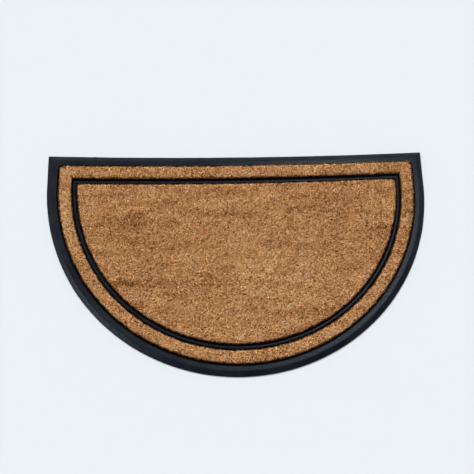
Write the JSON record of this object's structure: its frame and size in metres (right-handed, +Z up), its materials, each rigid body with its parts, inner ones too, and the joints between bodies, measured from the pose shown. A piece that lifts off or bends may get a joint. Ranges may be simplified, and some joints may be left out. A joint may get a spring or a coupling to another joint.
{
  "type": "half-round coir doormat",
  "caption": "Half-round doormat: a D-shaped black rubber tray with a sloping rim and an inner rib, holding an outer band and an inner field of coir pile for scraping shoes.",
  "frame": {"origin": "centre of the box in X and Y, at the flat underside", "axes": "+X along the straight back edge, +Y towards the back edge and -Y towards the round front, +Z up through the pile"},
  "size_m": [0.762, 0.4571, 0.0127],
  "materials": {
    "rubber": "black moulded rubber, dull with a faint sheen",
    "coir": "natural brown coir pile, coarse and matt"
  },
  "bodies": {
    "root": {"rubber_tray": "rubber", "coir_band": "coir", "coir_field": "coir"}
  },
  "joints": []
}
